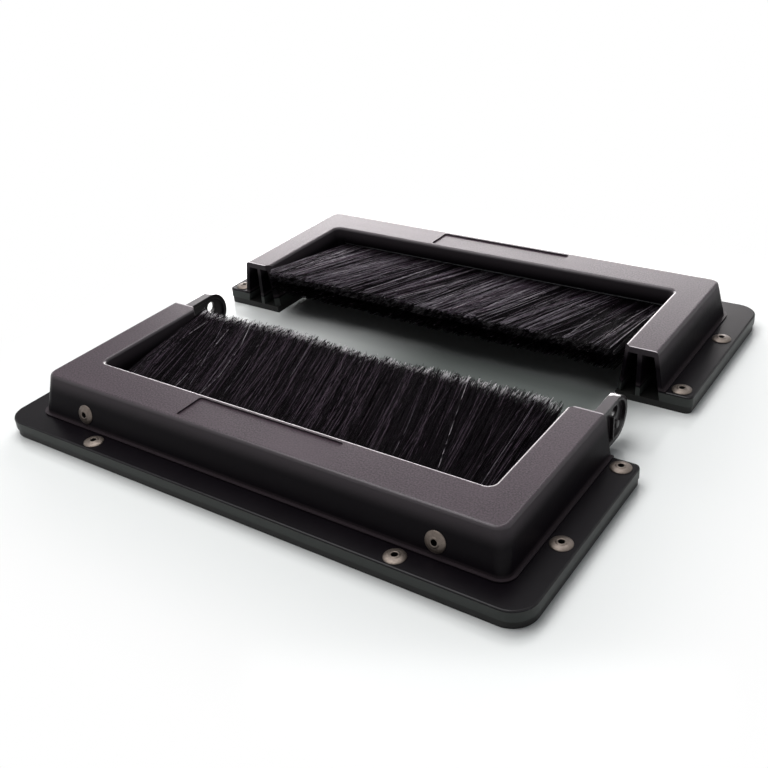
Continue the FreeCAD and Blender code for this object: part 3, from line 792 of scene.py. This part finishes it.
def strand_curve(half, layer, seed):
    """One layer of strands, as the bevelled splines of one curve."""
    rng = random.Random(seed)
    height, rise = LAYERS[layer]
    place = place_of(half) @ Matrix.Translation((0, MOUTH_Y * MM, height * MM))
    place = place @ Matrix.Rotation(math.radians(rise), 4, "X")
    curve = bpy.data.curves.new(f"{half}_{layer}_strands", "CURVE")
    curve.dimensions = "3D"
    curve.bevel_depth = STRAND_RADIUS * MM
    curve.bevel_resolution = 0
    curve.use_fill_caps = True
    for finish in BRISTLES:
        curve.materials.append(finish)
    tufts = tuft_row(rng, LIE[half])
    widths = [tuft["width"] for tuft in tufts]
    for number in range(STRANDS):
        stray = number < STRAYS[layer]
        tuft = rng.choices(tufts, widths)[0]
        points = strand_points(rng, tuft, stray)
        tone = drawn_tone(rng, half, layer, tuft)
        if layer == "upper" and points[-1].z < SHADED_LEVEL:
            tone = BLACK
        if stray and number % 2:
            tone = PALE
        thick = rng.uniform(*RADII) * THICKNESS[half][tone]
        spline = curve.splines.new("POLY")
        spline.points.add(len(points) - 1)
        flat = [value for point in points for value in (*(place @ point), 1.0)]
        spline.points.foreach_set("co", flat)
        spline.points.foreach_set("radius", [thick * size for size in TAPER])
        spline.material_index = tone
    return curve


def make_brush(half, layer, seed):
    """One layer of strands as a mesh."""
    drawn = bpy.data.objects.new("drawn_strands", strand_curve(half, layer, seed))
    scene.collection.objects.link(drawn)
    bpy.context.view_layer.update()
    graph = bpy.context.evaluated_depsgraph_get()
    mesh = bpy.data.meshes.new_from_object(drawn.evaluated_get(graph))
    bpy.data.objects.remove(drawn)
    name = f"{half}_{layer}_strands"
    replaced = (f"{half}_{layer}_bristles",)
    piece = add_piece(name, mesh, BRISTLES, half, replaced)
    anchor = place_of(half) @ Vector((0, MOUTH_Y * MM, 0))
    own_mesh(piece)


for half in HALVES:
    make_rivets(half)
for side in ("left", "right"):
    make_tongue(side)
for index, (half, layer) in enumerate((h, la) for h in HALVES for la in LAYERS):
    make_brush(half, layer, FIRST_SEED + index)


# Floor, camera and light

FLOOR_HALF_SIZE = 6.0
FLOOR_DROP = 0.05 * MM

bm = bmesh.new()
bmesh.ops.create_grid(bm, x_segments=1, y_segments=1, size=FLOOR_HALF_SIZE)
floor = bpy.data.objects.new("floor", mesh_from(bm, "floor"))
floor.data.materials.append(floor_finish())
scene.collection.objects.link(floor)
floor.location.z = -FLOOR_DROP

# The place is in metres and the angles are in degrees.
CAMERA_PLACE = (0.2630, -0.3695, 0.2565)
CAMERA_YAW = 36.49
CAMERA_PITCH = -29.94
CAMERA_ROLL = -4.75
FOCAL_PIXELS = 1007.6
FRAME_PIXELS = 768
SENSOR = 36.0

camera = bpy.data.objects.new("camera", bpy.data.cameras.new("camera"))
scene.collection.objects.link(camera)
camera.data.sensor_width = SENSOR
camera.data.lens = FOCAL_PIXELS * SENSOR / FRAME_PIXELS
camera.data.clip_start = 0.01
looking = Euler((math.radians(90 + CAMERA_PITCH), 0, math.radians(CAMERA_YAW))).to_matrix()
looking = looking.to_4x4() @ Matrix.Rotation(math.radians(CAMERA_ROLL), 4, "Z")
camera.matrix_world = Matrix.Translation(CAMERA_PLACE) @ looking
scene.camera = camera


def softbox(name, place, aim, width, height, watts, colour=(1, 1, 1)):
    """A rectangular lamp of a width and height in metres, turned to what it lights."""
    lamp = bpy.data.lights.new(name, "AREA")
    lamp.shape = "RECTANGLE"
    lamp.size = width
    lamp.size_y = height
    lamp.energy = watts
    lamp.color = colour
    thing = bpy.data.objects.new(name, lamp)
    scene.collection.objects.link(thing)
    thing.location = place
    thing.rotation_euler = (Vector(aim) - Vector(place)).to_track_quat("-Z", "Y").to_euler()
    thing.visible_camera = False


softbox("overhead", (-0.4, -0.1, 1.25), (0, 0, 0), 1.2, 1.0, 13.0)
softbox("behind", (-0.5, 0.9, 1.8), (0, 0, 0), 1.2, 0.8, 11.0)
softbox("low_behind", (-0.97, 1.75, 0.46), (0, 0, 0.02), 1.55, 0.78, 36.0, (1.0, 0.96, 0.965))
softbox("right", (1.2, -0.2, 0.7), (0, 0, 0), 0.7, 0.7, 0.6, (0.80, 0.87, 1.0))

# A dim bluish surround, brighter towards the back.
world = Finish(bpy.data.worlds.new("studio"))
towards = world.node("TexCoord", output="Generated")
back = world.rise(world.axis("Y", towards), -0.1, 0.9)
ambient = {"Color": (0.96, 0.98, 1.0, 1), "Strength": 0.08 + back * 0.40}
ambient = world.node("Background", {}, ambient)
white = world.node("Background", {}, {"Color": WHITE, "Strength": 1.0})
lit = world.node("MixShader", {}, {0: shows_backdrop(world), 1: ambient, 2: white})
world.node("OutputWorld", {}, {"Surface": lit})
scene.world = world.owner

scene.view_settings.view_transform = "Standard"
